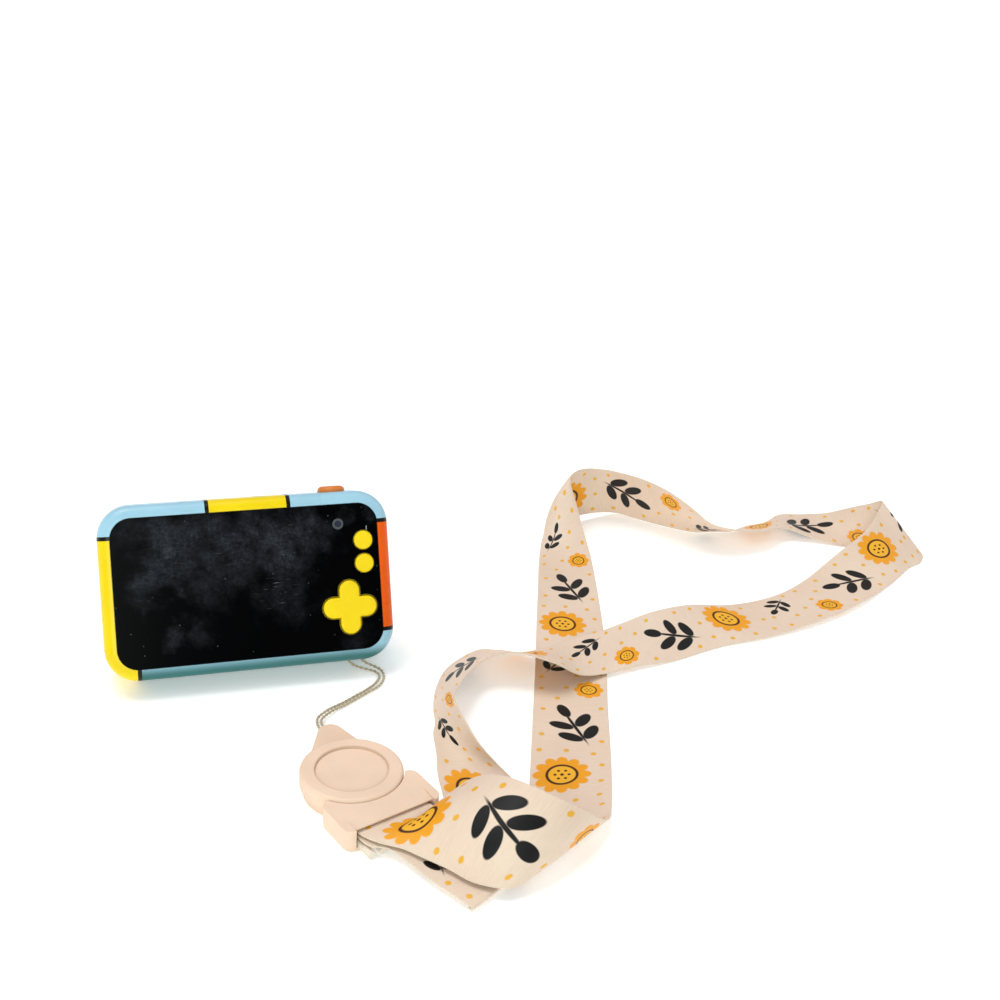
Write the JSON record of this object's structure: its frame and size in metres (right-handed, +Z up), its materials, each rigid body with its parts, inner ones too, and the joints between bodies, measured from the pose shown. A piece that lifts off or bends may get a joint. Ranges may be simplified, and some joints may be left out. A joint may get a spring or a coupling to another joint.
{
  "type": "toy camera",
  "caption": "Slim toy digital camera with rounded shells, black screen panel, keys and a front lens barrel, on a wide neck ribbon with a round release clip.",
  "frame": {"origin": "on the floor, under the middle of the leaning camera's box without its lanyard", "axes": "+X to the right along the camera's width as its screen is seen, +Y away from the viewer, +Z up"},
  "size_m": [0.3374, 0.2306, 0.0598],
  "materials": {
    "printed_body": "moulded, printed in blocks of light blue, yellow and orange",
    "black_panel": "polished acrylic",
    "gasket_foam": "adhesive foam",
    "display": "glass-fronted display",
    "circuit_board": "solder mask",
    "cell_wrap": "foil pouch",
    "dark_fittings": "moulded",
    "steel_fittings": "plated",
    "black_baffle": "moulded, fine ridges",
    "lens_glass": "polished, coated",
    "flash_window": "clear, prismatic",
    "flash_led": "phosphor",
    "grey_ring": "moulded",
    "orange_key": "moulded",
    "green_key": "moulded",
    "yellow_keys": "moulded, satin",
    "white_fittings": "moulded",
    "silicone": "moulded silicone",
    "cord": "braided thread",
    "clip_plastic": "moulded, satin",
    "ribbon": "woven satin ribbon, printed"
  },
  "bodies": {
    "root": {"front_shell": "printed_body", "rear_shell": "printed_body", "lens_ring": "printed_body", "rear_panel": "black_panel", "panel_gasket": "gasket_foam", "lcd_module": "display", "main_board": "circuit_board", "battery": "cell_wrap", "speaker": "dark_fittings", "microphone": "steel_fittings", "camera_module": "dark_fittings", "lens_baffle": "black_baffle", "lens_glass": "lens_glass", "flash_lens": "flash_window", "flash_led": "flash_led", "rear_camera": "dark_fittings", "rear_lens_ring": "grey_ring", "rear_lens_glass": "lens_glass", "shutter_switch": "dark_fittings", "power_switch": "dark_fittings", "keypad_membrane": "silicone", "switch_domes": "steel_fittings", "usb_port": "steel_fittings", "card_slot": "steel_fittings", "strap_pin": "steel_fittings", "shell_screws": "steel_fittings", "board_screws": "steel_fittings", "lanyard_cord": "cord", "clip_base": "clip_plastic", "clip_disc": "clip_plastic"},
    "shutter_button": {"shutter_button": "orange_key"},
    "power_button": {"power_button": "green_key"},
    "button_upper": {"button_upper": "yellow_keys"},
    "button_lower": {"button_lower": "yellow_keys"},
    "dpad_pivot": {"dpad_pivot": "white_fittings"},
    "dpad": {"dpad": "yellow_keys"},
    "lanyard": {"clip_buckle": "clip_plastic", "ribbon_clamp": "white_fittings", "ribbon": "ribbon"}
  },
  "joints": [
    {"name": "shutter_button_press", "type": "slide", "parent": "root", "child": "shutter_button", "axis": [0, -0.4126, -0.9109], "range_m": [0, 0.001], "stiffness_N_per_m": 900, "springref_m": -0.0005},
    {"name": "power_button_press", "type": "slide", "parent": "root", "child": "power_button", "axis": [0, -0.4126, -0.9109], "range_m": [0, 0.0006], "stiffness_N_per_m": 900, "springref_m": -0.0005},
    {"name": "button_upper_press", "type": "slide", "parent": "root", "child": "button_upper", "axis": [0, 0.9109, -0.4126], "range_m": [0, 0.0007], "stiffness_N_per_m": 800, "springref_m": -0.0005},
    {"name": "button_lower_press", "type": "slide", "parent": "root", "child": "button_lower", "axis": [0, 0.9109, -0.4126], "range_m": [0, 0.0007], "stiffness_N_per_m": 800, "springref_m": -0.0005},
    {"name": "dpad_tilt_up_down", "type": "hinge", "parent": "root", "child": "dpad_pivot", "pos_m": [0.0337, -0.01372, 0.02286], "axis": [1, 0, 0], "range_deg": [-3.5, 3.5], "stiffness_Nm_per_rad": 0.05},
    {"name": "dpad_tilt_left_right", "type": "hinge", "parent": "dpad_pivot", "child": "dpad", "pos_m": [0.0337, -0.01372, 0.02286], "axis": [0, 0.4126, 0.9109], "range_deg": [-3.5, 3.5], "stiffness_Nm_per_rad": 0.05},
    {"name": "clip_release", "type": "slide", "parent": "root", "child": "lanyard", "axis": [0.3584, -0.9336, 0], "range_m": [0, 0.014]}
  ]
}
